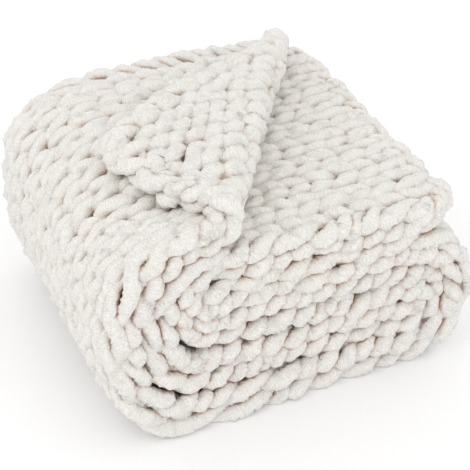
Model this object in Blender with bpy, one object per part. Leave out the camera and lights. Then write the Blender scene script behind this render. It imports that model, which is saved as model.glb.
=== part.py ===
"""Chunky knit blanket, folded into a bundle of six layers with one corner turned back.

The blanket is one cloth and one solid. Its section is a single back-and-forth line that runs
through the six layers and the five folds, and the cloth is that line, thickened and drawn out
from the front end to the back end. Metres, +Z up. X runs across the section, from the left
folds to the right ones, and Y from the front end to the back end. The origin is the middle of
the bottom. The knit columns run along the line and stand up as ribs, and the bottom is
pressed flat.
"""

import math

import bmesh
import bpy
import numpy as np

DEPTH = 0.395  # front end to back end
TOP_END_X = 0.139  # free end of the top layer, as it would lie flat
FIFTH_END_X = 0.185  # free end of the layer below it

# One row a layer, in the order in which the cloth runs through them: the height of its middle
# and its thickness where it begins and where it ends, how far its front edge and its back
# edge lie inside the depth, and how many rings it takes. Sizes are those of the two ends.
LAYER_COLUMNS = (
    "begin_z", "end_z", "begin_thick", "end_thick", "front_set_back", "back_set_back", "rings"
)
LAYERS = {
    "sixth": (0.2405, 0.2420, 0.028, 0.028, 0.006, 0.003, 8),
    "first": (0.0215, 0.0215, 0.043, 0.043, -0.004, 0.000, 4),
    "fourth": (0.1660, 0.1710, 0.038, 0.038, 0.000, 0.002, 4),
    "third": (0.1265, 0.1165, 0.042, 0.056, 0.004, 0.000, 4),
    "second": (0.0640, 0.0750, 0.038, 0.047, 0.003, 0.004, 4),
    "fifth": (0.2080, 0.2060, 0.032, 0.034, 0.001, 0.001, 6),
}

# One row a fold, each from one layer of the table above to the next. The reach is the x where
# the middle of the cloth turns back. A fullness under 1 squares a half of the fold.
FOLD_COLUMNS = ("centre_x", "reach_x", "thickness", "first_fullness", "last_fullness", "rings")
FOLDS = {
    "outer left": (-0.110, -0.200, 0.034, 1.00, 0.70, 12),
    "outer right": (0.134, 0.202, 0.030, 0.90, 1.00, 9),
    "inner left": (-0.102, -0.126, 0.034, 1.00, 1.00, 7),
    "inner right": (0.139, 0.165, 0.036, 1.00, 1.00, 7),
    "middle left": (-0.108, -0.162, 0.032, 0.85, 1.15, 9),
}

# The corner of the top layer is rolled over a slanting line and lies back on the layer.
CORNER_LINE_FRONT_X = -0.110
CORNER_LINE_BACK_X = 0.128
CORNER_ROLL_RADIUS = 0.0146
CORNER_ROLL_RINGS = 7
CORNER_FLAP_RINGS = 5
CORNER_ROLL_SHARE = 0.70  # most of the cloth past the line that the roll takes
BOUND_END_SHARE = 0.90  # most of the cloth past the roll that the bound end takes
TOP_RINGS_PAST = 0.030  # how far past the end of the top layer its slanting rings even out
CORNER_PULL = (0.040, 0.004)  # how far the stretch of the knit shifts the tip, in x and y

# Knit columns and edges
WALES = 10
RIB_RELIEF = 0.005
FLOOR_FADE = 0.020  # the ribs die out over this height above the floor
SELVEDGE = 0.022  # width of the chain along the front end and the back end
# Distance in from the edge, and share of the half thickness there
SELVEDGE_PROFILE = ((0.011, 0.96), (0.002, 0.55))
# Distance in from a free end, and share of the thickness there
BOUND_END_PROFILE = ((0.000, 0.45), (0.006, 0.80), (0.014, 0.84), (0.022, 0.70), (0.032, 1.00))

# The bundle swells between its ends, most towards the back
SWELL_LEFT = 0.031
SWELL_RIGHT = 0.012
SWELL_FROM_X = 0.050  # no part nearer the middle than this moves sideways
SWELL_FULL_X = 0.190
SWELL_REAR_GAIN = 0.40  # how much the swelling grows over the depth
SWELL_UP = 0.010  # share of the height
END_LENGTH = 0.050  # the swelling sets in over this depth

# The left of the back stands taller, as a share of the height
REAR_RISE = 0.022
REAR_RISE_X = (-0.150, 0.060)  # full up to the first x and gone at the second
REAR_RISE_Y = (-0.100, 0.120)

# Slow waves that keep the layers uneven: how far they reach, their length, and their phase
WAVE_UP = {"share": 0.012, "length_x": 0.370, "phase_x": 1.1, "length_y": 0.430, "phase_y": 0.4}
WAVE_LEAN = {"reach": 0.004, "length_y": 0.620, "phase": 0.6}
WAVE_ENDS = {"reach": 0.004, "length_x": 0.400, "length_z": 0.700, "phase": 0.3}

LINE_STEP = 0.001  # spacing of the points that draw the section line
SHARP_ANGLE = math.radians(50)

YARN_COLOUR = (0.83, 0.79, 0.73, 1.0)
YARN_ROUGHNESS = 0.95


def clear_scene():
    for old in list(bpy.data.objects):
        bpy.data.objects.remove(old, do_unlink=True)


def layer_value(layer, column):
    return LAYERS[layer][LAYER_COLUMNS.index(column)]


def fold_value(fold, column):
    return FOLDS[fold][FOLD_COLUMNS.index(column)]


def layer_rows(layer, z, share):
    """Rows of z, thickness, front and back set-back of a layer, this share of the way along it."""
    begin, end = (layer_value(layer, name) for name in ("begin_thick", "end_thick"))
    edges = [layer_value(layer, name) for name in ("front_set_back", "back_set_back")]
    thickness = begin + (end - begin) * share + np.zeros(len(z))
    return np.column_stack([z, thickness, np.tile(edges, (len(z), 1))])


def straight_points(layer, start_x, end_x):
    """A layer of the section line: rows of x, z, thickness, front and back set-back."""
    share = np.linspace(0, 1, int(abs(end_x - start_x) / LINE_STEP))
    begin_z, end_z = (layer_value(layer, name) for name in ("begin_z", "end_z"))
    z = begin_z + (end_z - begin_z) * share
    return np.column_stack([start_x + (end_x - start_x) * share, layer_rows(layer, z, share)])


def turned_points(fold, layer, next_layer):
    """Half an ellipse of the section line, squared by its fullness, round to the next layer."""
    centre_x = fold_value(fold, "centre_x")
    reach = fold_value(fold, "reach_x") - centre_x
    start_z = layer_value(layer, "end_z")
    end_z = layer_value(next_layer, "begin_z")
    count = int(math.pi * (abs(end_z - start_z) / 2 + abs(reach)) / 2 / LINE_STEP)
    turn = np.linspace(0, math.pi, count)[1:-1]
    z = (start_z + end_z) / 2 + (start_z - end_z) / 2 * np.cos(turn)
    share = (turn / math.pi)[:, None]
    values = layer_rows(layer, z, 1.0) * (1 - share) + layer_rows(next_layer, z, 0.0) * share
    pinch = np.sin(turn)
    values[:, 1] += (fold_value(fold, "thickness") - values[:, 1]) * pinch
    first, last = (fold_value(fold, name) for name in ("first_fullness", "last_fullness"))
    fullness = np.where(turn < math.pi / 2, first, last)
    return np.column_stack([centre_x + reach * pinch**fullness, values])


def section_line():
    """The whole section line, and where along it each layer and each fold begins."""
    layers = list(LAYERS)
    folds = list(FOLDS)
    stretches = []
    begins = {}
    start_x = TOP_END_X
    at = 0
    for i, layer in enumerate(layers):
        end_x = fold_value(folds[i], "centre_x") if i < len(folds) else FIFTH_END_X
        stretches.append((layer, straight_points(layer, start_x, end_x)))
        if i < len(folds):
            stretches.append((folds[i], turned_points(folds[i], layer, layers[i + 1])))
        start_x = end_x
    for name, rows in stretches:
        begins[name] = at
        at += len(rows)
    line = np.concatenate([rows for _, rows in stretches])
    steps = np.hypot(np.diff(line[:, 0]), np.diff(line[:, 1]))
    length = np.concatenate([[0], np.cumsum(steps)])
    begins = {name: length[index] for name, index in begins.items()}
    return length, line, begins


class Section:
    """Reads the section line at any distance from the free end on top."""

    def __init__(self):
        self.length, self.line, self.begins = section_line()
        self.end = self.length[-1]
        names = list(self.begins)
        self.ends = {a: self.begins[b] for a, b in zip(names, names[1:])}
        self.ends[names[-1]] = self.end
        along = np.gradient(self.line[:, :2], self.length, axis=0)
        along /= np.linalg.norm(along, axis=1)[:, None]
        self.normal = np.column_stack([along[:, 1], -along[:, 0]])

    def read(self, distance, column):
        return float(np.interp(distance, self.length, self.line[:, column]))

    def half_thickness(self, distance):
        return self.read(distance, 2) / 2

    def y(self, distance, share):
        """Depth of a point that is this share of the way from the front edge to the back."""
        front = -DEPTH / 2 + self.read(distance, 3)
        back = DEPTH / 2 - self.read(distance, 4)
        return front + (back - front) * share

    def point(self, distance, y, height):
        """The point this high above the line, on the side that faces out on top."""
        normal_x = np.interp(distance, self.length, self.normal[:, 0])
        normal_z = np.interp(distance, self.length, self.normal[:, 1])
        x = self.read(distance, 0) + normal_x * height
        z = self.read(distance, 1) + normal_z * height
        return np.array([x, y, z])


def corner_angle():
    return math.atan2(DEPTH, CORNER_LINE_BACK_X - CORNER_LINE_FRONT_X)


def corner_line_distance(y):
    """Distance from the free end to the slanting line, along the top layer."""
    line_x = CORNER_LINE_FRONT_X + (y + DEPTH / 2) / math.tan(corner_angle())
    return TOP_END_X - line_x


def corner_depth():
    """How far the corner's tip lies past the slanting line before it is rolled back."""
    return (TOP_END_X - CORNER_LINE_FRONT_X) * math.sin(corner_angle())


def on_cloth(section, distance, y, height):
    """A point of the cloth, with the corner of the top layer rolled back."""
    angle = corner_angle()
    past = (corner_line_distance(y) - distance) * math.sin(angle)
    if past <= 0:
        return section.point(distance, y, height)
    radius = CORNER_ROLL_RADIUS
    if past < math.pi * radius:
        turn = past / radius
        across = (radius - height) * math.sin(turn)
        lift = radius - (radius - height) * math.cos(turn)
    else:
        across = math.pi * radius - past
        lift = 2 * radius - height
    shift = across - past
    pulled = (past / corner_depth()) ** 2
    moved_distance = distance - shift * math.sin(angle) - CORNER_PULL[0] * pulled
    moved_y = y - shift * math.cos(angle) + CORNER_PULL[1] * pulled
    return section.point(moved_distance, moved_y, lift)


def ring_profile():
    """Points round a ring: share of the depth, side, share of the half thickness, relief.

    The side is 1 on the face that shows on top and -1 on the other.
    """
    inner = SELVEDGE / DEPTH
    ribs = [(inner + (1 - 2 * inner) * i / (2 * WALES), i % 2) for i in range(2 * WALES + 1)]
    face = [(inset / DEPTH, 1, share, 0.0) for inset, share in reversed(SELVEDGE_PROFILE)]
    face += [(share, 1, 1.0, 0.0 if crest else RIB_RELIEF) for share, crest in ribs]
    face += [(1 - inset / DEPTH, 1, share, 0.0) for inset, share in SELVEDGE_PROFILE]
    back = [(share, -side, thick, relief) for share, side, thick, relief in reversed(face)]
    return face + [(1.0, 0, 0.0, 0.0)] + back + [(0.0, 0, 0.0, 0.0)]


def even(start, end, count):
    """Distances from start up to, but not including, end."""
    return [start + (end - start) * i / count for i in range(count)]


def bound_end_factor(section, distance):
    """Share of the thickness, drawn in beside the rope of the bound end."""
    inset = min(distance, section.end - distance)
    insets, shares = zip(*BOUND_END_PROFILE)
    return float(np.interp(inset, insets, shares))


def stations(section, y):
    """Distances along the line at which rings stand, for the part of the rings at this depth."""
    past = corner_line_distance(y)
    roll = min(math.pi * CORNER_ROLL_RADIUS / math.sin(corner_angle()), CORNER_ROLL_SHARE * past)
    insets = [inset for inset, _ in BOUND_END_PROFILE]
    scale = min(1.0, BOUND_END_SHARE * (past - roll) / insets[-1])
    top_end = section.ends["sixth"] + TOP_RINGS_PAST
    found = [inset * scale for inset in insets[:-1]]
    found += even(insets[-1] * scale, past - roll, CORNER_FLAP_RINGS)
    found += even(past - roll, past, CORNER_ROLL_RINGS)
    found += even(past, top_end, layer_value("sixth", "rings"))
    found += even(top_end, section.ends["outer left"], fold_value("outer left", "rings"))
    for layer, fold in zip(list(LAYERS)[1:], list(FOLDS)[1:]):
        found += even(section.begins[layer], section.ends[layer], layer_value(layer, "rings"))
        found += even(section.begins[fold], section.ends[fold], fold_value(fold, "rings"))
    found += even(section.begins["fifth"], section.end - insets[-1], layer_value("fifth", "rings"))
    return found + [section.end - inset for inset in reversed(insets)]


def ramp(values, start, full):
    """0 at start and before it, 1 at full and past it."""
    return np.clip((values - start) / (full - start), 0, 1)


def swollen(points):
    """The bundle fuller between its ends and taller at the left of its back."""
    x, y, z = points.T
    swelling = 1 - ramp(np.abs(y), DEPTH / 2 - END_LENGTH, DEPTH / 2) ** 2
    outward = ramp(np.abs(x), SWELL_FROM_X, SWELL_FULL_X) * (1 + SWELL_REAR_GAIN * y / DEPTH)
    sideways = np.where(x < 0, -SWELL_LEFT, SWELL_RIGHT) * outward * swelling
    rise = REAR_RISE * ramp(x, *reversed(REAR_RISE_X)) * ramp(y, *REAR_RISE_Y)
    return np.column_stack([x + sideways, y, z * (1 + SWELL_UP * swelling + rise)])


def waved(points):
    """The bundle a little wavy. What lies on the floor stays there."""
    x, y, z = points.T
    across = np.sin(2 * math.pi * x / WAVE_UP["length_x"] + WAVE_UP["phase_x"])
    along = np.cos(2 * math.pi * y / WAVE_UP["length_y"] + WAVE_UP["phase_y"])
    lean = np.sin(2 * math.pi * y / WAVE_LEAN["length_y"] + WAVE_LEAN["phase"])
    turn = x / WAVE_ENDS["length_x"] + z / WAVE_ENDS["length_z"]
    ends = np.sin(2 * math.pi * turn + WAVE_ENDS["phase"])
    moved_x = x + WAVE_LEAN["reach"] * lean * z / z.max()
    moved_y = y + WAVE_ENDS["reach"] * ends
    moved_z = z * (1 + WAVE_UP["share"] * across * along)
    return np.column_stack([moved_x, moved_y, moved_z])


def cloth_points(section):
    """Points of every ring, as an array of rings, points in a ring, and x, y, z."""
    columns = []
    for share, side, thick, relief in ring_profile():
        nominal_y = section.y(0, share)
        column = []
        for distance in stations(section, nominal_y):
            y = section.y(distance, share)
            half = section.half_thickness(distance) * bound_end_factor(section, distance)
            crest = on_cloth(section, distance, y, side * half * thick)
            fade = min(1.0, max(0.0, crest[2] / FLOOR_FADE))
            raised = side * max(half * thick - relief * fade, 0.0)
            column.append(on_cloth(section, distance, y, raised))
        columns.append(column)
    return np.array(columns).transpose(1, 0, 2)


def on_floor_centre(points):
    """The points moved so that the middle of the bottom of their box is the origin."""
    low = points.min(axis=0)
    high = points.max(axis=0)
    middle = (low + high) / 2
    return points - np.array([middle[0], middle[1], low[2]])


def build_mesh(points):
    rings, around, _ = points.shape
    flat = on_floor_centre(waved(swollen(points.reshape(-1, 3))))
    shape = bmesh.new()
    verts = [shape.verts.new(co) for co in flat]
    for ring in range(rings - 1):
        for i in range(around):
            j = (i + 1) % around
            a, b = ring * around, (ring + 1) * around
            shape.faces.new((verts[a + i], verts[a + j], verts[b + j], verts[b + i]))
    shape.faces.new(verts[:around][::-1])
    shape.faces.new(verts[-around:])
    bmesh.ops.recalc_face_normals(shape, faces=shape.faces)
    bmesh.ops.triangulate(shape, faces=[f for f in shape.faces if len(f.verts) > 4])
    mesh = bpy.data.meshes.new("blanket")
    shape.to_mesh(mesh)
    shape.free()
    return mesh


def yarn_material():
    material = bpy.data.materials.new("chenille yarn")
    material.use_nodes = True
    shader = material.node_tree.nodes["Principled BSDF"]
    shader.inputs["Base Color"].default_value = YARN_COLOUR
    shader.inputs["Roughness"].default_value = YARN_ROUGHNESS
    shader.inputs["Metallic"].default_value = 0.0
    return material


def make_blanket():
    mesh = build_mesh(cloth_points(Section()))
    mesh.shade_smooth()
    mesh.set_sharp_from_angle(angle=SHARP_ANGLE)
    mesh.materials.append(yarn_material())
    blanket = bpy.data.objects.new("blanket", mesh)
    bpy.context.scene.collection.objects.link(blanket)
    return blanket


clear_scene()
make_blanket()
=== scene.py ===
"""Looks of the folded chunky knit blanket: every strand of its chenille yarn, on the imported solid.

The cloth is a stockinette knit. Its middle surface is the section line of the solid, which runs
back and forth through six layers and five folds, with the corner of the top layer rolled back.
A point of the cloth is its distance from the free end on top, its depth from front to back, and
its height over the middle surface. Strands are drawn there as lines and swept as round tubes.
"""

import math
from functools import partial

import bpy
import numpy as np
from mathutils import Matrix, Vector
from mathutils.kdtree import KDTree


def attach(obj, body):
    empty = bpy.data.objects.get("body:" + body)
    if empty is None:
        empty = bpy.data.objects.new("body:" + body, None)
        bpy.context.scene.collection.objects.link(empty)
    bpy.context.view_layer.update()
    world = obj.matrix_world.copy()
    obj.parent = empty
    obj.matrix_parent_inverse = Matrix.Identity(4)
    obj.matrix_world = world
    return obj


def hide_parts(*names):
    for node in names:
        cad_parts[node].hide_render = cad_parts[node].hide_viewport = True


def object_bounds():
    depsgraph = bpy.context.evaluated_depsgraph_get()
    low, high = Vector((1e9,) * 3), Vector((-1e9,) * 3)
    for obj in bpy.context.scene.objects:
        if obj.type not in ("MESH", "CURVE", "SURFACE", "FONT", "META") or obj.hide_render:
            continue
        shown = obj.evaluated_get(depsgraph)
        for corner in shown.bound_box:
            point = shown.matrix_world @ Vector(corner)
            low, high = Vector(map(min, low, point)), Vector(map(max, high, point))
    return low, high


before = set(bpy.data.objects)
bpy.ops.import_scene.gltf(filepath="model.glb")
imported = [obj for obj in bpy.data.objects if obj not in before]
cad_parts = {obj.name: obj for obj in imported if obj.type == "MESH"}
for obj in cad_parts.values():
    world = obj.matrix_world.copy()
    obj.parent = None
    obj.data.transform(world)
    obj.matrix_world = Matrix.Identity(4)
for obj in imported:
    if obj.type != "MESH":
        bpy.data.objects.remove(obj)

cad_low, cad_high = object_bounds()
rng = np.random.default_rng(11)

# ---------------------------------------------------------------- the folded cloth, in metres
DEPTH = 0.395  # front end to back end
TOP_END_X = 0.139  # free end of the top layer, as it would lie flat
FIFTH_END_X = 0.185  # free end of the layer below it
SHIFT = (0.00957, 0.00190, 0.0)  # from the section's own zero to the middle of the bottom
LINE_STEP = 0.001
PAST_END = 0.030  # how far the section line goes on past both free ends
LINE_COLUMNS = ("x", "z", "thickness", "front_set_back", "back_set_back", "normal_x", "normal_z")

# The layers are counted from the floor up. They and the folds stand in the cloth's own order
LAYER_COLUMNS = ("begin_z", "end_z", "begin_thick", "end_thick", "front_set_back", "back_set_back")
LAYERS = {
    "sixth": (0.2405, 0.2420, 0.028, 0.028, 0.006, 0.003),
    "first": (0.0215, 0.0215, 0.043, 0.043, -0.004, 0.000),
    "fourth": (0.1660, 0.1710, 0.038, 0.038, 0.000, 0.002),
    "third": (0.1265, 0.1165, 0.042, 0.056, 0.004, 0.000),
    "second": (0.0640, 0.0750, 0.038, 0.047, 0.003, 0.004),
    "fifth": (0.2080, 0.2060, 0.032, 0.034, 0.001, 0.001),
}
FOLD_COLUMNS = ("centre_x", "reach_x", "thickness", "first_fullness", "last_fullness")
FOLDS = {
    "outer left": (-0.110, -0.200, 0.034, 1.00, 0.70),
    "outer right": (0.134, 0.202, 0.030, 0.90, 1.00),
    "inner left": (-0.102, -0.126, 0.034, 1.00, 1.00),
    "inner right": (0.139, 0.165, 0.036, 1.00, 1.00),
    "middle left": (-0.108, -0.162, 0.032, 0.85, 1.15),
}

# The corner of the top layer, rolled over a slanting line
CORNER_LINE_FRONT_X = -0.110
CORNER_LINE_BACK_X = 0.128
CORNER_ROLL_RADIUS = 0.0146
CORNER_PULL = (0.040, 0.004)  # how far the stretch of the knit shifts the tip, in x and y

# How the bundle differs from its section drawn straight out
SWELL_LEFT = 0.024
SWELL_RIGHT = 0.012
SWELL_FROM_X = 0.050  # nearer the middle than this nothing swells sideways
SWELL_FULL_X = 0.190
SWELL_REAR_GAIN = 0.40  # how much the swelling grows over the depth
SWELL_UP = 0.010  # share of the height
END_LENGTH = 0.050  # from each end, the depth over which the swelling sets in
REAR_RISE = 0.022  # share of the height, full at the left of the back
REAR_RISE_X = (-0.150, 0.060)
REAR_RISE_Y = (-0.100, 0.120)
WAVE_UP = {"share": 0.012, "length_x": 0.370, "phase_x": 1.1, "length_y": 0.430, "phase_y": 0.4}
WAVE_LEAN = {"reach": 0.004, "length_y": 0.620, "phase": 0.6}
WAVE_ENDS = {"reach": 0.004, "length_x": 0.400, "length_z": 0.700, "phase": 0.3}
PULLS = (
    # where the cloth is drawn in or out: the centre, how far that is felt, and by how much
    ((0.146, 0.185, 0.275), 0.075, (-0.003, 0.000, 0.021)),  # the upper tip of the folded corner
    ((-0.135, -0.100, 0.270), 0.125, (-0.008, -0.034, -0.007)),  # its lower edge
    ((0.050, 0.190, 0.250), 0.110, (0.000, 0.000, 0.009)),  # the upper edge of the back end
    ((0.170, 0.197, 0.216), 0.075, (0.002, 0.006, 0.029)),  # the back edge under that tip
    ((-0.175, -0.198, 0.030), 0.100, (-0.010, -0.004, 0.000)),  # the lower left of the front end
    ((-0.118, 0.195, 0.262), 0.100, (0.000, 0.000, -0.014)),  # the upper left of the back end
    ((-0.215, 0.170, 0.215), 0.080, (-0.010, 0.000, 0.007)),  # the side below it
)

# ---------------------------------------------------------------- the knit, in metres
YARN_RADIUS = 0.0096
LOOP_DEPTH = 0.0092  # how far legs and heads lie from the middle surface
PRESS_HALF = 0.0176  # half the thickness of the knit where nothing presses it
WALES = 9
SELVEDGE = 0.0245  # from the edge to where a course turns back
COURSE = 0.0281  # height of a course
LOOP_HALF_HEIGHT = 0.0258
PURL_SHOWS = (0.16, 0.30)  # the folded-back corner ends between these distances
PURL_SHORTER = 0.0040  # how much shorter its loops are, so that its bumps are staggered
PURL_FLATTER = 0.20  # shares by which its loops are less deep, and its yarn fuller
PURL_FULLER = 0.09
PURL_LESS_SHADE = 0.30  # how much less painted shade its creases get
LOOP_NECK = 0.0078  # how far a loop is drawn in at its foot and let out at its head
LEG_HOLD = 0.35  # how soon a leg dips through the cloth: less holds it longer
PURL_HOLD = 0.90  # the same for heads and feet, which stand out as round bumps
LEG_PLUMP = 0.12  # how much fuller a strand is in the middle of a leg and of a head
BOUND_ROOM = 0.0165  # from a bound end to the feet or heads of its first full course
SHORT_ROOM = 0.0125  # the same for the short course between that one and the chain
KNIT_SIDE_TURNS_AT = 1.46  # the knit side faces out before this distance and in after it
HIDDEN = (1.08, 2.06)  # courses between these distances show only at their ends
FINE_STEPS = 35  # rings in a stitch that shows
PLAIN_STEPS = 14  # rings in one that doesn't
EDGE_STEPS = 30  # rings in the first and last stitch of a hidden course
TURN_STEPS = 14  # rings where a course turns back
FINE_SIDES = 16
PLAIN_SIDES = 12
TURN_REACH = 0.0060  # how far a turning strand goes into the edge's rope
TURN_RISE = 0.90  # how far it comes up from the purl side, in loop depths
END_SKIP = 3  # rings left off at the strand's own two ends, which lie hidden in the edge
TAPER_BEGINS = -0.0008  # a strand's end narrows to nothing this far past its last ring
LOOSE_ALONG = 0.0018  # how uneven the stitches are: along the cloth, across it and out of it
LOOSE_ACROSS = 0.0013
LOOSE_UP = 0.0010
LOOSE_YARN = 0.055  # how uneven the yarn's thickness is
LOOSE_LENGTH = 0.034  # how often all that changes along the yarn
# Slow drift of the stitches over the cloth: how far, and how long its waves are
WANDER_ALONG = {"reach": 0.0040, "length": 0.31, "turn": 5.1}
WANDER_SIDE = {"reach": 0.0045, "length": 0.27, "phase": 1.3, "at_edges": 0.7}
FIFTH_SKEW = 0.034  # how far the fifth layer's wales run askew, back at its free end
FIFTH_SKEW_FROM = 2.16
FIFTH_SKEW_EASES_FROM = 2.0
PART_BREAKS = (0.33, 0.66, 1.08, 2.06)  # distances at which the strand is parted into pieces
HIDDEN_PART = 3  # the piece that lies inside the bundle, counted from 0

# ---------------------------------------------------------------- the surface of the yarn
PILE_UNEVEN = 0.100
FLOOR_CLEAR = 0.0002
PRESSED = (0.62, 1.10)  # how thin a strand's section gets with the cloth: least and most
RIDGE_PLUMP = 0.24  # how much fuller the strands are where the corner rolls back over them
OUTER_HEIGHT = 0.0185  # where a strand's outermost side lies over the middle surface
EDGE_OPEN = (0.012, 0.028)  # from an edge: bare, with no painted shade, at the first; inside the cloth from the second
FEEL = 0.0055  # how far over a strand its neighbours are looked for
FELT_RADIUS = 0.94  # share of a strand's radius from which its neighbours crowd it
AT_ENDS = 0.030  # this near its end a strand gets less painted shade from its neighbours than it would
# How near neighbours are, from 0 to 1, where their painted shade on a strand begins and where it is
# full
CROWDING_SHADE = {"knit": (0.35, 1.70), "selvedge": (0.08, 0.66)}
YARN_APART = 3.7  # how far apart along the pile's pattern the strands of a rope begin
BAKE_GAP = 1.12  # from one strip of the unrolled yarn to the next, in its ways round
CAP_ROOM = 0.030  # side of the square in which the cap at a strand's end lies
CAP_SHARE = 0.4  # radius of a cap, as a share of that
CAPS_A_ROW = 20
STEP_ALONG = (0.002, 0, 0)  # small steps of distance, across and height
STEP_ACROSS = (0, 0.001, 0)
STEP_UP = (0, 0, 0.001)
TINY = 1e-12  # a direction shorter than this is none


def layer_value(layer, column):
    """One number of a layer's row."""
    return LAYERS[layer][LAYER_COLUMNS.index(column)]


def fold_value(fold, column):
    """One number of a fold's row."""
    return FOLDS[fold][FOLD_COLUMNS.index(column)]


def layer_rows(layer, z, share):
    """Rows of z, thickness, front and back set-back of a layer, this share of the way along it."""
    begin, end = (layer_value(layer, name) for name in ("begin_thick", "end_thick"))
    edges = [layer_value(layer, name) for name in ("front_set_back", "back_set_back")]
    thickness = begin + (end - begin) * share + np.zeros(len(z))
    return np.column_stack([z, thickness, np.tile(edges, (len(z), 1))])


def straight_points(layer, start_x, end_x):
    """A layer of the section line: rows of x, z, thickness, front and back set-back."""
    share = np.linspace(0, 1, int(abs(end_x - start_x) / LINE_STEP))
    begin_z, end_z = (layer_value(layer, name) for name in ("begin_z", "end_z"))
    z = begin_z + (end_z - begin_z) * share
    return np.column_stack([start_x + (end_x - start_x) * share, layer_rows(layer, z, share)])


def turned_points(fold, layer, next_layer):
    """Half an ellipse of the section line, squared by its fullness, round to the next layer."""
    centre_x = fold_value(fold, "centre_x")
    reach = fold_value(fold, "reach_x") - centre_x
    start_z = layer_value(layer, "end_z")
    end_z = layer_value(next_layer, "begin_z")
    count = int(math.pi * (abs(end_z - start_z) / 2 + abs(reach)) / 2 / LINE_STEP)
    turn = np.linspace(0, math.pi, count)[1:-1]
    z = (start_z + end_z) / 2 + (start_z - end_z) / 2 * np.cos(turn)
    share = (turn / math.pi)[:, None]
    values = layer_rows(layer, z, 1.0) * (1 - share) + layer_rows(next_layer, z, 0.0) * share
    pinch = np.sin(turn)
    values[:, 1] += (fold_value(fold, "thickness") - values[:, 1]) * pinch
    first, last = (fold_value(fold, name) for name in ("first_fullness", "last_fullness"))
    fullness = np.where(turn < math.pi / 2, first, last)
    return np.column_stack([centre_x + reach * pinch**fullness, values])


def ramp(values, start, full):
    """0 at start and before it, 1 at full and past it."""
    return np.clip((values - start) / (full - start), 0, 1)


def swollen(points):
    """The bundle fuller between its ends and taller at the left of its back."""
    x, y, z = points.T
    swelling = 1 - ramp(np.abs(y), DEPTH / 2 - END_LENGTH, DEPTH / 2) ** 2
    outward = ramp(np.abs(x), SWELL_FROM_X, SWELL_FULL_X) * (1 + SWELL_REAR_GAIN * y / DEPTH)
    sideways = np.where(x < 0, -SWELL_LEFT, SWELL_RIGHT) * outward * swelling
    rise = REAR_RISE * ramp(x, *reversed(REAR_RISE_X)) * ramp(y, *REAR_RISE_Y)
    return np.column_stack([x + sideways, y, z * (1 + SWELL_UP * swelling + rise)])


def waved(points, top_z):
    """The bundle a little wavy. What lies on the floor stays there."""
    x, y, z = points.T
    across = np.sin(2 * math.pi * x / WAVE_UP["length_x"] + WAVE_UP["phase_x"])
    along = np.cos(2 * math.pi * y / WAVE_UP["length_y"] + WAVE_UP["phase_y"])
    lean = np.sin(2 * math.pi * y / WAVE_LEAN["length_y"] + WAVE_LEAN["phase"])
    turn = x / WAVE_ENDS["length_x"] + z / WAVE_ENDS["length_z"]
    ends = np.sin(2 * math.pi * turn + WAVE_ENDS["phase"])
    moved_x = x + WAVE_LEAN["reach"] * lean * z / top_z
    moved_y = y + WAVE_ENDS["reach"] * ends
    moved_z = z * (1 + WAVE_UP["share"] * across * along)
    return np.column_stack([moved_x, moved_y, moved_z])


def drawn(points):
    """The cloth drawn in or out at the places named, most at their centres."""
    for centre, reach, pull in PULLS:
        away = np.linalg.norm(points - np.array(centre), axis=1, keepdims=True)
        points = points + np.array(pull) * (1 - ramp(away, 0, reach)) ** 2
    return points


def unit(vectors):
    """The same directions at length 1."""
    return vectors / np.maximum(np.linalg.norm(vectors, axis=-1, keepdims=True), TINY)


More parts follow.
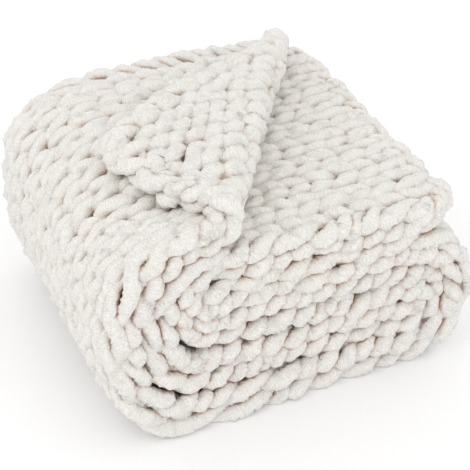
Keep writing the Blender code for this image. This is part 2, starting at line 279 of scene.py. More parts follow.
class Cloth:
    """The middle surface of the folded cloth, and how it carries a point of the knit."""

    def __init__(self):
        layers, folds = list(LAYERS), list(FOLDS)
        stretches, start_x = [], TOP_END_X
        for i, layer in enumerate(layers):
            end_x = fold_value(folds[i], "centre_x") if i < len(folds) else FIFTH_END_X
            stretches.append(straight_points(layer, start_x, end_x))
            if i < len(folds):
                stretches.append(turned_points(folds[i], layer, layers[i + 1]))
            start_x = end_x
        line = np.concatenate(stretches)
        steps = np.hypot(np.diff(line[:, 0]), np.diff(line[:, 1]))
        length = np.concatenate([[0], np.cumsum(steps)])
        self.end = length[-1]
        along = np.gradient(line[:, :2], length, axis=0)
        along /= np.linalg.norm(along, axis=1)[:, None]
        line = np.column_stack([line, along[:, 1], -along[:, 0]])
        before, after = line[0].copy(), line[-1].copy()
        before[:2] -= along[0] * PAST_END
        after[:2] += along[-1] * PAST_END
        self.length = np.concatenate([[-PAST_END], length, [self.end + PAST_END]])
        self.line = np.vstack([before, line, after])
        self.angle = math.atan2(DEPTH, CORNER_LINE_BACK_X - CORNER_LINE_FRONT_X)
        self.corner_depth = (TOP_END_X - CORNER_LINE_FRONT_X) * math.sin(self.angle)

    def read(self, distance, column):
        """Values of the section line at these distances along it."""
        return np.interp(distance, self.length, self.line[:, LINE_COLUMNS.index(column)])

    def thinness(self, distance):
        """How far the knit is pressed flat, as a share of its free thickness."""
        return self.read(distance, "thickness") / 2 / PRESS_HALF

    def depth_at(self, distance, across):
        """Depth of a point, from its distance in from the front edge on a cloth DEPTH wide."""
        front = -DEPTH / 2 + self.read(distance, "front_set_back")
        back = DEPTH / 2 - self.read(distance, "back_set_back")
        return front + (back - front) * across / DEPTH

    def line_distance(self, y):
        """Distance from the free end to the corner's slanting line, along the top layer."""
        line_x = CORNER_LINE_FRONT_X + (y + DEPTH / 2) / math.tan(self.angle)
        return TOP_END_X - line_x

    def rolled_back(self, distance, y, height):
        """The same distance, depth and height once the corner is rolled over its line."""
        past = (self.line_distance(y) - distance) * math.sin(self.angle)
        radius = CORNER_ROLL_RADIUS
        turn = np.clip(past / radius, 0, math.pi)
        rolled = past < math.pi * radius
        inside = radius - height
        over = np.where(rolled, inside * np.sin(turn), math.pi * radius - past)
        lift = np.where(rolled, radius - inside * np.cos(turn), 2 * radius - height)
        shift = over - past
        pulled = (past / self.corner_depth) ** 2
        corner = past > 0
        moved = distance - shift * math.sin(self.angle) - CORNER_PULL[0] * pulled
        moved_y = y - shift * math.cos(self.angle) + CORNER_PULL[1] * pulled
        distance = np.where(corner, moved, distance)
        return distance, np.where(corner, moved_y, y), np.where(corner, lift, height)

    def place(self, distance, across, height):
        """Points of the folded cloth, in the row frame."""
        given = (distance, across, height)
        distance, across, height = (np.asarray(values, float).ravel() for values in given)
        y = self.depth_at(distance, across)
        height = height * self.thinness(distance)
        distance, y, height = self.rolled_back(distance, y, height)
        x = self.read(distance, "x") + self.read(distance, "normal_x") * height
        z = self.read(distance, "z") + self.read(distance, "normal_z") * height
        points = waved(swollen(np.column_stack([x, y, z])), cad_high.z) + np.array(SHIFT)
        return drawn(points)

    def ridge(self, distance, across):
        """1 at the top of the roll along the corner's line, 0 on both sides of it."""
        y = self.depth_at(distance, across)
        past = (self.line_distance(y) - distance) * math.sin(self.angle)
        return np.sin(np.clip(past / CORNER_ROLL_RADIUS, 0, math.pi))

    def direction(self, distance, across, height, step):
        """The way in which a small step of distance, across and height moves each point."""
        ahead = self.place(distance + step[0], across + step[1], height + step[2])
        behind = self.place(distance - step[0], across - step[1], height - step[2])
        return unit(ahead - behind).reshape(*np.shape(distance), 3)


cloth = Cloth()


# ---------------------------------------------------------------- strands
def swept(rows, sides, kind="knit"):
    """Tubes of one point count, from the distance, across, height and radius of their points."""
    distance, across, height, radius = rows
    radius = radius * (1 + RIDGE_PLUMP * cloth.ridge(distance, across))
    shape = distance.shape
    lines = cloth.place(distance, across, height).reshape(*shape, 3)
    ups = cloth.direction(distance, across, height, STEP_UP)
    along = unit(np.gradient(lines, axis=1))
    first = unit(ups - (ups * along).sum(-1, keepdims=True) * along)
    second = np.cross(along, first)
    angle = np.arange(sides) * 2 * math.pi / sides
    pile = 1 + PILE_UNEVEN * rng.standard_normal((*shape, sides))
    round_up = np.cos(angle)[:, None] * first[:, :, None]
    round_side = np.sin(angle)[:, None] * second[:, :, None]
    offset = (radius[..., None] * pile)[..., None] * (round_up + round_side)
    rise = (offset * ups[:, :, None]).sum(-1, keepdims=True)
    pressed = 1 - np.clip(cloth.thinness(distance), *PRESSED)
    offset -= pressed[..., None, None] * rise * ups[:, :, None]
    verts = lines[:, :, None] + offset
    verts[..., 2] = np.maximum(verts[..., 2], FLOOR_CLEAR)
    steps = np.linalg.norm(np.diff(lines, axis=1), axis=-1)
    length = np.concatenate([np.zeros((shape[0], 1)), np.cumsum(steps, axis=1)], axis=1)
    return {
        "rings": verts,
        "length": length,
        "kind": kind,
        "lines": lines,
        "radius": radius,
        "purl": 1 - ramp(distance, *PURL_SHOWS),
        "unshaded": outwardness(rows, offset, ups),
    }


def outwardness(rows, offset, ups):
    """How far out of the cloth each vertex lies: 0 in its middle surface, 1 at its outside. Low
    values get painted shade.
    """
    distance, across, height, _ = rows
    thin = cloth.thinness(distance)
    risen = (offset * ups[:, :, None]).sum(-1) + (height * thin)[..., None]
    out = np.abs(risen) / (OUTER_HEIGHT * thin)[..., None]
    side = cloth.direction(distance, across, height, STEP_ACROSS)
    ahead = cloth.direction(distance, across, np.zeros(distance.shape), STEP_ALONG)
    for place, full, way in ((across, DEPTH, side), (distance, cloth.end, ahead)):
        vertex = place[..., None] + (offset * way[:, :, None]).sum(-1)
        from_edge = np.minimum(vertex, full - vertex)
        out = np.maximum(out, 1 - ramp(from_edge, *EDGE_OPEN))
    return np.clip(out, 0, 1)


def shade_crowded_strands(tubes):
    """Painted shade where strands touch: the unshaded share drops there, and least so in the corner.
    """
    lines = np.concatenate([tube["lines"].reshape(-1, 3) for tube in tubes])
    tree = KDTree(len(lines))
    for i, point in enumerate(lines.tolist()):
        tree.insert(point, i)
    tree.balance()
    for tube in tubes:
        out = unit(tube["rings"] - tube["lines"][:, :, None])
        probes = (tube["rings"] + FEEL * out).reshape(-1, 3).tolist()
        nearest = np.array([tree.find(probe)[2] for probe in probes]).reshape(tube["unshaded"].shape)
        own = tube["radius"][..., None] * FELT_RADIUS + FEEL
        crowded = ramp(1 - nearest / own, *CROWDING_SHADE[tube["kind"]])
        length = tube["length"]
        from_end = np.minimum(length, length[:, -1:] - length)
        crowded *= ramp(from_end, 0.0, AT_ENDS)[..., None]
        shade = 1 - PURL_LESS_SHADE * tube["purl"][..., None]
        tube["unshaded"] = 1 - (1 - tube["unshaded"] * (1 - crowded)) * shade


def quads(index):
    """Corners of the faces of tubes, from a grid of tube, ring and side."""
    here, there = index[:, :-1], index[:, 1:]
    return np.stack([here, np.roll(here, -1, 2), np.roll(there, -1, 2), there], -1).reshape(-1, 4)


def unrolled(begin, end, low, way):
    """The same faces on a plane: along the yarn from begin to end, and round it from low."""
    begin, end = (np.broadcast_to(a[..., None], low.shape) for a in (begin, end))
    corners = [(begin, low), (begin, low + way), (end, low + way), (end, low)]
    return np.stack([np.stack(corner, -1) for corner in corners], -2).reshape(-1, 2)


def pattern_layout(tubes):
    """Length along the yarn and way round it, in metres, that the pile is drawn by."""
    made = []
    for tube in tubes:
        count, points, sides = tube["rings"].shape[:3]
        way = 2 * math.pi * YARN_RADIUS / sides
        length = tube["length"] + YARN_APART * np.arange(count)[:, None]
        low = np.broadcast_to(np.arange(sides) * way, (count, points - 1, sides))
        made.append(unrolled(length[:, :-1], length[:, 1:], low, way))
    return np.concatenate(made)


def bake_layout(tubes, caps):
    """Every strand unrolled into strips that fill a square, for textures of the materials."""
    strip = max(tube["radius"].max() for tube in tubes) * 2 * math.pi * BAKE_GAP
    total = sum((tube["length"][:, -1] + strip).sum() for tube in tubes)
    row_length = math.sqrt(total * strip)
    start, corners, last_row = 0.0, [], 0
    for tube in tubes:
        length, sides = tube["length"], tube["rings"].shape[2]
        room = length[:, -1] + strip
        length = length + start + np.concatenate([[0], np.cumsum(room)[:-1]])[:, None]
        start += room.sum()
        row = np.floor(length[:, :-1] / row_length)
        way = strip / BAKE_GAP / sides
        low = row[..., None] * strip + np.arange(sides) * way
        shift = row * row_length
        corners.append(unrolled(length[:, :-1] - shift, length[:, 1:] - shift, low, way))
        last_row = max(last_row, row.max())
    top = (last_row + 1) * strip
    for i, sides in enumerate(caps):
        turn = 2 * math.pi * np.arange(sides) / sides
        centre_x = (i % CAPS_A_ROW + 0.5) * CAP_ROOM
        centre = np.array([centre_x, top + (i // CAPS_A_ROW + 0.5) * CAP_ROOM])
        around = np.column_stack([np.cos(turn), np.sin(turn)])
        corners.append(centre + CAP_SHARE * CAP_ROOM * around)
    corners = np.concatenate(corners)
    return corners / corners.max()


def mesh_of(name, tubes):
    """One mesh of tubes, each closed at both ends."""
    faces, caps, start = [], [], 0
    for tube in tubes:
        count, points, sides = tube["rings"].shape[:3]
        index = start + np.arange(count * points * sides).reshape(count, points, sides)
        faces.append(quads(index))
        caps += [*index[:, 0, ::-1], *index[:, -1]]
        start += index.size
    verts = np.concatenate([tube["rings"].reshape(-1, 3) for tube in tubes])
    faces = np.concatenate(faces)
    mesh = bpy.data.meshes.new(name)
    corners = np.concatenate([faces.ravel(), *caps])
    sizes = np.array([4] * len(faces) + [len(cap) for cap in caps])
    mesh.vertices.add(len(verts))
    mesh.vertices.foreach_set("co", verts.astype(np.float32).ravel())
    mesh.loops.add(len(corners))
    mesh.loops.foreach_set("vertex_index", corners.astype(np.int32))
    mesh.polygons.add(len(sizes))
    starts = np.concatenate([[0], np.cumsum(sizes)[:-1]])
    mesh.polygons.foreach_set("loop_start", starts.astype(np.int32))
    pattern = np.zeros((len(corners), 2))
    pattern[: faces.size] = pattern_layout(tubes)
    bake = bake_layout(tubes, [len(cap) for cap in caps])
    for layer_name, layout in (("strand", pattern), ("OFBake", bake)):
        layer = mesh.uv_layers.new(name=layer_name)
        layer.uv.foreach_set("vector", layout.astype(np.float32).ravel())
    unshaded_values = np.concatenate([tube["unshaded"].ravel() for tube in tubes]).astype(np.float32)
    mesh.attributes.new("unshaded", "FLOAT", "POINT").data.foreach_set("value", unshaded_values)
    mesh.update(calc_edges=True)
    mesh.shade_smooth()
    obj = bpy.data.objects.new(name, mesh)
    bpy.context.scene.collection.objects.link(obj)
    return obj


def uneven(length, spacing, size):
    """Random values that change smoothly along a strand, a new one every spacing."""
    place = length / spacing
    values = rng.standard_normal(int(place[-1]) + 3) * size
    left = place.astype(int)
    share = place - left
    share = share * share * (3 - 2 * share)
    return values[left] * (1 - share) + values[left + 1] * share


def tapered(length, radius):
    """How thick a strand still is at its own two ends, as a share: they are round."""
    from_end = np.minimum(length, length[-1] - length)
    return np.sqrt(ramp(from_end, TAPER_BEGINS, radius))


def wander(distance, across):
    """Slow drift of the stitches over the cloth, along it and across it."""
    inside = np.sin(math.pi * np.clip(across / DEPTH, 0, 1))
    turn = 2 * math.pi * across / WANDER_ALONG["length"] + WANDER_ALONG["turn"] * distance
    along = WANDER_ALONG["reach"] * np.sin(turn)
    turn = 2 * math.pi * distance / WANDER_SIDE["length"] + WANDER_SIDE["phase"]
    side = WANDER_SIDE["reach"] * np.sin(turn)
    skewed = FIFTH_SKEW * ramp(distance, FIFTH_SKEW_FROM, cloth.end) - FIFTH_SKEW / 2
    easing = -FIFTH_SKEW / 2 * ramp(distance, FIFTH_SKEW_EASES_FROM, FIFTH_SKEW_FROM)
    side = side + np.where(distance > FIFTH_SKEW_FROM, skewed, easing)
    return along, side * inside ** WANDER_SIDE["at_edges"]


def stitch_turns(centre):
    """Places along a course in stitches: close together where the course shows."""
    if not HIDDEN[0] < centre < HIDDEN[1]:
        return np.linspace(0, WALES, WALES * FINE_STEPS + 1)
    inner = WALES - 2
    middle = np.linspace(1, WALES - 1, inner * PLAIN_STEPS + 1)[1:-1]
    edge = np.linspace(0, 1, EDGE_STEPS + 1)
    return np.concatenate([edge, middle, edge + WALES - 1])


def course(centre, half_height, side):
    """One course, front to back: rows of distance, across, height and radius."""
    purl = 1 - ramp(centre, *PURL_SHOWS)
    stitches = stitch_turns(centre)
    turn = 2 * math.pi * stitches
    wale = (DEPTH - 2 * SELVEDGE) / WALES
    across = SELVEDGE + wale * stitches + LOOP_NECK * np.sin(2 * turn)
    distance = centre - half_height * np.cos(turn)
    swing = np.cos(2 * turn)
    hold = np.where(swing > 0, PURL_HOLD, LEG_HOLD)
    height = -side * LOOP_DEPTH * swing * (1 + hold) / (np.abs(swing) + hold)
    height *= 1 - PURL_FLATTER * purl
    radius = YARN_RADIUS * (1 + LEG_PLUMP * np.cos(4 * turn)) * (1 + PURL_FULLER * purl)
    return np.column_stack([distance, across, height, radius])


def turning(before, after, outward):
    """The strand between two courses, round in the edge's rope."""
    turn = math.pi * np.arange(1, TURN_STEPS) / TURN_STEPS
    share = (1 - np.cos(turn)) / 2
    rows = before + (after - before) * share[:, None]
    rows[:, 1] += outward * TURN_REACH * np.sin(turn)
    rows[:, 2] *= 1 - TURN_RISE * np.sin(turn) ** 2
    return rows


def knit_strand():
    """The whole knitted strand, and the index at which each course begins."""
    first = BOUND_ROOM + LOOP_HALF_HEIGHT
    count = int(round((cloth.end - 2 * first) / COURSE)) + 1
    centres = np.linspace(first, cloth.end - first, count)
    short_reach = centres[0] + LOOP_HALF_HEIGHT - COURSE
    short = (SHORT_ROOM + short_reach) / 2
    centres = np.concatenate([[short], centres, [cloth.end - short]])
    half_heights = LOOP_HALF_HEIGHT - PURL_SHORTER * (1 - ramp(centres, *PURL_SHOWS))
    half_heights[[0, -1]] = (short_reach - SHORT_ROOM) / 2
    count += 2
    side = np.where(centres < KNIT_SIDE_TURNS_AT, 1.0, -1.0)
    courses = [course(*own) for own in zip(centres, half_heights, side)]
    courses = [rows[::-1] if j % 2 else rows for j, rows in enumerate(courses)]
    courses[0] = courses[0][END_SKIP:]
    courses[-1] = courses[-1][:-END_SKIP]
    stretches, begins = [], []
    for j, rows in enumerate(courses):
        begins.append(sum(len(stretch) for stretch in stretches))
        stretches.append(rows)
        if j + 1 < count:
            stretches.append(turning(rows[-1], courses[j + 1][0], -1 if j % 2 else 1))
    strand = np.concatenate(stretches)
    flat_steps = np.linalg.norm(np.diff(strand[:, :3], axis=0), axis=1)
    length = np.concatenate([[0], np.cumsum(flat_steps)])
    strand[:, 0] += uneven(length, LOOSE_LENGTH, LOOSE_ALONG)
    strand[:, 1] += uneven(length, LOOSE_LENGTH, LOOSE_ACROSS)
    strand[:, 2] += uneven(length, LOOSE_LENGTH, LOOSE_UP)
    strand[:, 3] *= 1 + uneven(length, LOOSE_LENGTH, LOOSE_YARN)
    strand[:, 3] *= tapered(length, YARN_RADIUS)
    along, side = wander(strand[:, 0], strand[:, 1])
    strand[:, 0] += along
    strand[:, 1] += side
    return strand, centres, begins


# ---------------------------------------------------------------- selvedges and bound ends
LONG_EDGES = ("front", "back")
ROPE_STEP = 0.0028
ROPE_SIDES = 12
ROPE_RADIUS = 0.0083
ROPE_PLUMP = 0.22  # how much fuller a strand is where it stands out
END_PLUMP = 0.12  # how much more than that along the free ends and the folded-back corner
TURN_UNEVEN = {"spacing": 0.030, "size": 0.32}  # how much the turns of a rope differ in length
SWING_UNEVEN = {"spacing": 0.060, "size": 0.20}  # and its strands in how far they swing
YARN_UNEVEN = {"spacing": 0.025, "size": 0.08}  # and in thickness
ROPE_LOOSE = {"spacing": LOOSE_LENGTH, "size": 0.0021}  # how loosely they lie
MOST_SWING = 1.06  # no strand swings further than this share of its usual swing
LONG_TURN = (0.060, 0.105)  # a turn counts as long from the first, fully from the second
LONG_CLOSER = 0.22  # how much closer the strands lie where the turns are long
LONG_FIRMER = 0.60  # and how much less loosely
ROPE_STRETCHES = ((0.026, 1.290), (1.270, 1.990), (1.965, 2.370))  # distances, first to last
ROPE_TURNS = (
    # distance, length of a full turn on the knit side and on the purl side
    (0.24, 0.052, 0.050),
    (0.29, 0.100, 0.060),
    (0.56, 0.100, 0.060),
    (0.68, 0.070, 0.056),
    (0.84, 0.066, 0.056),
    (0.90, 0.096, 0.050),
    (0.99, 0.096, 0.050),
    (1.05, 0.060, 0.056),
    (1.28, 0.060, 0.048),
    (1.32, 0.042, 0.044),
    (1.94, 0.042, 0.044),
    (1.98, 0.110, 0.050),
    (2.08, 0.110, 0.050),
    (2.13, 0.062, 0.056),
)
ROPE_KNIT_SIDE = (0.0150, 0.0096)  # from the edge to its middle, and that over the cloth's middle
ROPE_PURL_SIDE = (0.0158, 0.0092)
ROPE_SWING = (0.0080, 0.0046)  # how far its strands swing in and out, and up and down
FOLD_GAP = {"distance": 0.50, "reach": 0.05, "out": 0.006}  # a rope stands out into it, on the left
CORNER_EDGE = (0.020, 0.24)  # the folded-back corner's edge is one thick rope between these
CORNER_EDGE_FLATTER = 0.50  # how much nearer to the cloth's middle that rope lies, as a share
CORNER_EDGE_OUT = 0.0035  # and how much nearer to the edge
BOUND_TURN = 0.054  # length of a full turn of the rope along a free end
BOUND_MIDDLE = (0.0140, 0.0)  # as for the long edges
BOUND_SWING = (0.0066, 0.0088)
BOUND_CORNER = 0.040  # how wide that rope turns at the corners of the cloth
BOUND_PAST = 0.016  # and how far it goes on along the edge there


def round_end(along, inset):
    """Distance and across along a free end and round both its corners, from its middle."""
    straight = DEPTH / 2 - BOUND_CORNER
    quarter = BOUND_CORNER * math.pi / 2
    bend = ramp(np.abs(along), straight, straight + quarter) * math.pi / 2
    past = np.maximum(np.abs(along) - straight - quarter, 0)
    from_middle = np.minimum(np.abs(along), straight) + (BOUND_CORNER - inset) * np.sin(bend)
    distance = BOUND_CORNER - (BOUND_CORNER - inset) * np.cos(bend) + past
    return distance, np.sign(along) * from_middle + DEPTH / 2


def lay(edge, along, inset):
    """Distance and across of places along an edge, this far in from it."""
    if edge == "front":
        return along, inset
    if edge == "back":
        return along, DEPTH - inset
    distance, across = round_end(along, inset)
    return (distance if edge == "top end" else cloth.end - distance), across


def rope_places(begin, end):
    """Places along an edge, a step of the rope's apart."""
    return np.linspace(begin, end, int((end - begin) / ROPE_STEP))


def rope(edge, place, turn_length, middle, swing):
    """Two strands lightly twisted, along an edge of the cloth."""
    along = place - place[0]
    vary = partial(uneven, along)
    turn_length = turn_length * np.exp(vary(**TURN_UNEVEN))
    begin_phase = rng.uniform(0, 2 * math.pi)
    phase = begin_phase + np.cumsum(2 * math.pi * (place[1] - place[0]) / turn_length)
    long = ramp(turn_length, *LONG_TURN)
    loose = 1 - LONG_FIRMER * long
    swell = np.minimum(np.exp(vary(**SWING_UNEVEN)), MOST_SWING)
    swell *= 1 - LONG_CLOSER * long
    middle_inset, middle_height = middle
    thick, plump = np.zeros(len(place)), ROPE_PLUMP + END_PLUMP
    if edge in LONG_EDGES:
        thick = 1 - ramp(place, *CORNER_EDGE)
        plump = ROPE_PLUMP + END_PLUMP * thick
        if middle_height < 0:
            away = (place - FOLD_GAP["distance"]) / FOLD_GAP["reach"]
            middle_height = middle_height - FOLD_GAP["out"] * np.exp(-(away**2))
    thinning = tapered(along, ROPE_RADIUS)
    rows = []
    for turn in (phase, phase + math.pi):
        inset = middle_inset - swing[0] * swell * np.sin(turn) + vary(**ROPE_LOOSE) * loose
        inset -= CORNER_EDGE_OUT * thick
        height = middle_height + swing[1] * np.cos(turn) + vary(**ROPE_LOOSE) * loose
        height *= 1 - CORNER_EDGE_FLATTER * thick
        radius = ROPE_RADIUS * (1 + plump * np.sin(turn)) * np.exp(vary(**YARN_UNEVEN))
        rows.append((*lay(edge, place, inset), height, radius * thinning))
    return swept(np.moveaxis(np.array(rows), 1, 0), ROPE_SIDES, "selvedge")


def selvedge(edge):
    """The ropes along a long edge, on both sides of the cloth, from one free end to the other."""
    distances, knit_lengths, purl_lengths = np.array(ROPE_TURNS).T
    made = []
    for begin, end in ROPE_STRETCHES:
        place = rope_places(begin, end)
        knit_side = 1 if end < KNIT_SIDE_TURNS_AT else -1
        for side in (1, -1):
            lengths = knit_lengths if side == knit_side else purl_lengths
            inset, height = ROPE_KNIT_SIDE if side == knit_side else ROPE_PURL_SIDE
            turn_length = np.interp(place, distances, lengths)
            made.append(rope(edge, place, turn_length, (inset, side * height), ROPE_SWING))
    return made


def bound_end(edge):
    """The rope along a free end: the top layer's, or the fifth layer's at the lower end."""
    reach = DEPTH / 2 + BOUND_CORNER * (math.pi / 2 - 1) + BOUND_PAST
    return rope(edge, rope_places(-reach, reach), BOUND_TURN, BOUND_MIDDLE, BOUND_SWING)


def build_knit():
    """The strand in pieces of a size that exports well, each broken where a course begins."""
    strand, centres, begins = knit_strand()
    breaks = [begins[int(np.searchsorted(centres, distance))] for distance in PART_BREAKS]
    cuts = [0, *breaks, len(strand) - 1]
    groups = {}
    for part, (low, high) in enumerate(zip(cuts, cuts[1:])):
        rows = strand[low : high + 1].T[:, None, :]
        sides = PLAIN_SIDES if part == HIDDEN_PART else FINE_SIDES
        groups[f"knit_strand_{part + 1}"] = [swept(rows, sides)]
    groups["front_selvedge"] = selvedge("front")
    groups["back_selvedge"] = selvedge("back")
    groups["bound_ends"] = [bound_end("top end"), bound_end("lower end")]
    shade_crowded_strands([tube for tubes in groups.values() for tube in tubes])
    return [mesh_of(name, tubes) for name, tubes in groups.items()]


# ---------------------------------------------------------------- the middle of the cloth
GROUND_ALONG = 330  # points along the cloth and across it
GROUND_ACROSS = 36
GROUND_INSET = 0.020  # from the edges of the cloth
GROUND_HALF = 0.0012  # half its thickness


def build_ground():
    """The middle of the cloth, where the pile of the strands meets and closes the holes; its dark
    colour is painted shade.
    """
    along = np.linspace(GROUND_INSET, cloth.end - GROUND_INSET, GROUND_ALONG)
    over = np.linspace(GROUND_INSET, DEPTH - GROUND_INSET, GROUND_ACROSS)
    distance, across = np.meshgrid(along, over, indexing="ij")
    top = cloth.place(distance, across, np.full(distance.shape, GROUND_HALF))
    low = cloth.place(distance, across, np.full(distance.shape, -GROUND_HALF))
    index = np.arange(distance.size).reshape(distance.shape)
    skin = [index[:-1, :-1], index[:-1, 1:], index[1:, 1:], index[1:, :-1]]
    skin = np.stack(skin, -1).reshape(-1, 4)
    rim = np.concatenate([index[0], index[1:, -1], index[-1, -2::-1], index[-2:0:-1, 0]])
    after = np.roll(rim, -1)
    sides = np.column_stack([rim, rim + index.size, after + index.size, after])
    faces = np.concatenate([skin[:, ::-1], skin + index.size, sides])
    mesh = bpy.data.meshes.new("blanket_ground")
    mesh.from_pydata(np.concatenate([top, low]).tolist(), [], faces.tolist())
    mesh.update()
    mesh.shade_smooth()
    obj = bpy.data.objects.new("blanket_ground", mesh)
    bpy.context.scene.collection.objects.link(obj)
    return obj


# ---------------------------------------------------------------- materials
YARN_COLOUR = (0.880, 0.860, 0.822)
# painted shade in the gaps between tufts of the pile
PILE_GAP_SHADE_COLOUR = (0.700, 0.664, 0.610)
# painted shade: warm and dark, in creases where strands crowd each other and deep in the cloth
CREVICE_SHADE_COLOUR = (0.61, 0.440, 0.335)
# painted shade of the deep holes between the stitches
GROUND_SHADE_COLOUR = (0.45, 0.320, 0.245)
RING_PITCH = 0.0026  # the pile stands in rings round the strand
RUFFLE = 0.007  # size of the lumps that shift those rings
RUFFLE_SHIFT = 2.6  # by how many rings they do so
TUFT = 0.0020  # size of a tuft of the pile
TUFT_NOISE = (0.30, 0.70)  # noise at which a tuft is lowest and highest
RING_SHARE = 0.40  # of the pile's height; the rest is tufts
GAPS = (0.66, 0.14)  # heights of the pile at which a gap begins and is deepest
GAP_SHADE_SHARE = 0.64  # how much of the gaps' painted shade shows there
CREVICE_SHADE_RANGE = (0.90, 0.15)  # how unshaded a place is where the painted crevice shade begins and is full
PILE_HEIGHT = 0.0016
PILE_STRENGTH = 0.55


def link(tree, source, target):
    """Joins an output socket to an input socket."""
    tree.links.new(source, target)


def math_node(tree, operation, *values):
    """A maths node of these values, each a number or another node's socket."""
    made = tree.nodes.new("ShaderNodeMath")
    made.operation = operation
    for socket, value in zip(made.inputs, values):
        if isinstance(value, (int, float)):
            socket.default_value = value
        else:
            link(tree, value, socket)
    return made.outputs[0]


def noise(tree, place, size, detail=2.0, rough=0.5):
    """Noise whose lumps are about this size, in metres."""
    made = tree.nodes.new("ShaderNodeTexNoise")
    made.inputs["Scale"].default_value = 1 / size
    made.inputs["Detail"].default_value = detail
    made.inputs["Roughness"].default_value = rough
    link(tree, place, made.inputs["Vector"])
    return made.outputs["Fac"]


def ease(tree, value, low, high, to_low=0.0, to_high=1.0):
    """A value eased from to_low at low to to_high at high."""
    made = tree.nodes.new("ShaderNodeMapRange")
    made.interpolation_type = "SMOOTHSTEP"
    numbers = (("From Min", low), ("From Max", high), ("To Min", to_low), ("To Max", to_high))
    for name, number in numbers:
        made.inputs[name].default_value = number
    link(tree, value, made.inputs["Value"])
    return made.outputs["Result"]


def mix(tree, share, first, second):
    """Two colours mixed, each a colour or another node's socket."""
    made = tree.nodes.new("ShaderNodeMix")
    made.data_type = "RGBA"
    link(tree, share, made.inputs[0])
    for socket, value in ((made.inputs[6], first), (made.inputs[7], second)):
        if isinstance(value, tuple):
            socket.default_value = (*value, 1)
        else:
            link(tree, value, socket)
    return made.outputs[2]


def pile_group():
    """Chenille pile: its height, and a mask of how deep in it a point lies, for painted shade in its
    gaps.
    """
    group = bpy.data.node_groups.new("chenille pile", "ShaderNodeTree")
    group.interface.new_socket("Strand", in_out="INPUT", socket_type="NodeSocketVector")
    group.interface.new_socket("Place", in_out="INPUT", socket_type="NodeSocketVector")
    group.interface.new_socket("Height", in_out="OUTPUT", socket_type="NodeSocketFloat")
    group.interface.new_socket("Gap Shade", in_out="OUTPUT", socket_type="NodeSocketFloat")
    begin = group.nodes.new("NodeGroupInput")
    end = group.nodes.new("NodeGroupOutput")
    strand, place = begin.outputs["Strand"], begin.outputs["Place"]
    split = group.nodes.new("ShaderNodeSeparateXYZ")
    link(group, strand, split.inputs[0])
    ruffle = noise(group, place, RUFFLE, detail=1.0)
    along = math_node(group, "MULTIPLY", split.outputs[0], 1 / RING_PITCH)
    along = math_node(group, "MULTIPLY_ADD", ruffle, RUFFLE_SHIFT, along)
    wave = math_node(group, "SINE", math_node(group, "MULTIPLY", along, 2 * math.pi))
    rings = math_node(group, "MULTIPLY_ADD", wave, 0.5, 0.5)
    tufts = noise(group, place, TUFT, detail=3.0, rough=0.65)
    tufts = ease(group, tufts, *TUFT_NOISE)
    height = math_node(group, "MULTIPLY", rings, RING_SHARE)
    height = math_node(group, "MULTIPLY_ADD", tufts, 1 - RING_SHARE, height)
    link(group, height, end.inputs["Height"])
    link(group, ease(group, height, *GAPS), end.inputs["Gap Shade"])
    return group


def chenille():
    """The yarn: painted shade darkens its pile's gaps, and warmer painted shade lies where strands
    crowd it.
    """
    material = bpy.data.materials.new("chenille yarn")
    material.use_nodes = True
    tree = material.node_tree
    shader = tree.nodes["Principled BSDF"]
    shader.inputs["Roughness"].default_value = 0.95
    shader.inputs["Sheen Weight"].default_value = 0.35
    shader.inputs["Sheen Roughness"].default_value = 0.4
    shader.inputs["Specular IOR Level"].default_value = 0.10
    place = tree.nodes.new("ShaderNodeTexCoord").outputs["Object"]
    strand = tree.nodes.new("ShaderNodeUVMap")
    strand.uv_map = "strand"
    pile = tree.nodes.new("ShaderNodeGroup")
    pile.node_tree = pile_group()
    link(tree, strand.outputs["UV"], pile.inputs["Strand"])
    link(tree, place, pile.inputs["Place"])
    outward = tree.nodes.new("ShaderNodeAttribute")
    outward.attribute_name = "unshaded"
    # painted shade in the low places of the pile
    gap_shade = math_node(tree, "MULTIPLY", pile.outputs["Gap Shade"], GAP_SHADE_SHARE)
    colour = mix(tree, gap_shade, YARN_COLOUR, PILE_GAP_SHADE_COLOUR)
    # painted crevice shade where the unshaded share is low
    inside = ease(tree, outward.outputs["Fac"], *CREVICE_SHADE_RANGE)
    colour = mix(tree, inside, colour, CREVICE_SHADE_COLOUR)
    link(tree, colour, shader.inputs["Base Color"])
    bump = tree.nodes.new("ShaderNodeBump")
    bump.inputs["Strength"].default_value = PILE_STRENGTH
    bump.inputs["Distance"].default_value = PILE_HEIGHT
    link(tree, pile.outputs["Height"], bump.inputs["Height"])
    link(tree, bump.outputs["Normal"], shader.inputs["Normal"])
    return material


def ground_shade_material():
    """The pile in the middle of the cloth, seen only between the stitches, coloured dark as painted
    shade.
    """
    material = bpy.data.materials.new("inner pile painted shade")
    material.use_nodes = True
    shader = material.node_tree.nodes["Principled BSDF"]
    shader.inputs["Base Color"].default_value = (*GROUND_SHADE_COLOUR, 1)
    shader.inputs["Roughness"].default_value = 1.0
    return material


# ---------------------------------------------------------------- the studio
FLOOR_HALF = 6.0  # half the side of its square
FLOOR_COLOUR = (0.95, 0.95, 0.95)
SKY_STRENGTH = 1.08
LIGHT_TARGET = (0, 0, 0.12)
LIGHTS = {
    # location, side of its square, and power in watts
    "key": ((-1.7, -0.5, 1.4), 1.2, 3.5),
    "front": ((0.5, -2.2, 0.8), 1.4, 3.0),
}
CAMERA_AT = (-0.48477, -1.09350, 0.94938)
CAMERA_TO = (0.07120, 0.13214, 0.0)
LENS = 91.05


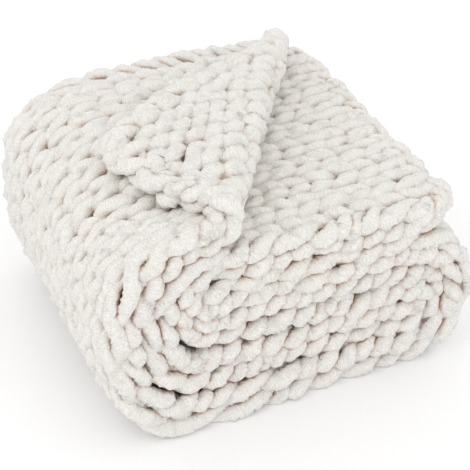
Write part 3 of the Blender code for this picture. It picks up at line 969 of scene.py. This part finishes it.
def build_floor():
    """A white floor, wide enough to fill the picture."""
    mesh = bpy.data.meshes.new("floor")
    signs = ((-1, -1), (1, -1), (1, 1), (-1, 1))
    corners = [(x * FLOOR_HALF, y * FLOOR_HALF, 0) for x, y in signs]
    mesh.from_pydata(corners, [], [(0, 1, 2, 3)])
    floor = bpy.data.objects.new("floor", mesh)
    bpy.context.scene.collection.objects.link(floor)
    material = bpy.data.materials.new("white studio floor")
    material.use_nodes = True
    shader = material.node_tree.nodes["Principled BSDF"]
    shader.inputs["Base Color"].default_value = (*FLOOR_COLOUR, 1)
    shader.inputs["Roughness"].default_value = 0.9
    mesh.materials.append(material)


def facing(location, target):
    """The rotation of a light or camera that looks from its place at its target."""
    return (Vector(target) - Vector(location)).to_track_quat("-Z", "Y").to_euler()


def area_light(name, location, size, power):
    """A soft light on the blanket, from a square of this size."""
    data = bpy.data.lights.new(name, "AREA")
    data.shape = "SQUARE"
    data.size = size
    data.energy = power
    light = bpy.data.objects.new(name, data)
    light.location = location
    light.rotation_euler = facing(location, LIGHT_TARGET)
    bpy.context.scene.collection.objects.link(light)


def build_light():
    """White light from all round, and a little more from the left and the front."""
    world = bpy.data.worlds.new("studio")
    world.use_nodes = True
    sky = world.node_tree.nodes["Background"]
    sky.inputs["Color"].default_value = (1, 1, 1, 1)
    sky.inputs["Strength"].default_value = SKY_STRENGTH
    bpy.context.scene.world = world
    for name, (location, size, power) in LIGHTS.items():
        area_light(name, location, size, power)
    bpy.context.scene.view_settings.view_transform = "Standard"


def build_camera():
    """A long lens from the front left, above the blanket."""
    data = bpy.data.cameras.new("camera")
    data.sensor_width = 36
    data.lens = LENS
    camera = bpy.data.objects.new("camera", data)
    camera.location = CAMERA_AT
    camera.rotation_euler = facing(CAMERA_AT, CAMERA_TO)
    bpy.context.scene.collection.objects.link(camera)
    bpy.context.scene.camera = camera


# ---------------------------------------------------------------- the pieces put together
strands = build_knit()
ground = build_ground()
yarn = chenille()
for piece in strands:
    piece.data.materials.append(yarn)
ground.data.materials.append(ground_shade_material())
for piece in [*strands, ground]:
    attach(piece, "root")
    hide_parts("blanket")
build_floor()
build_light()
build_camera()
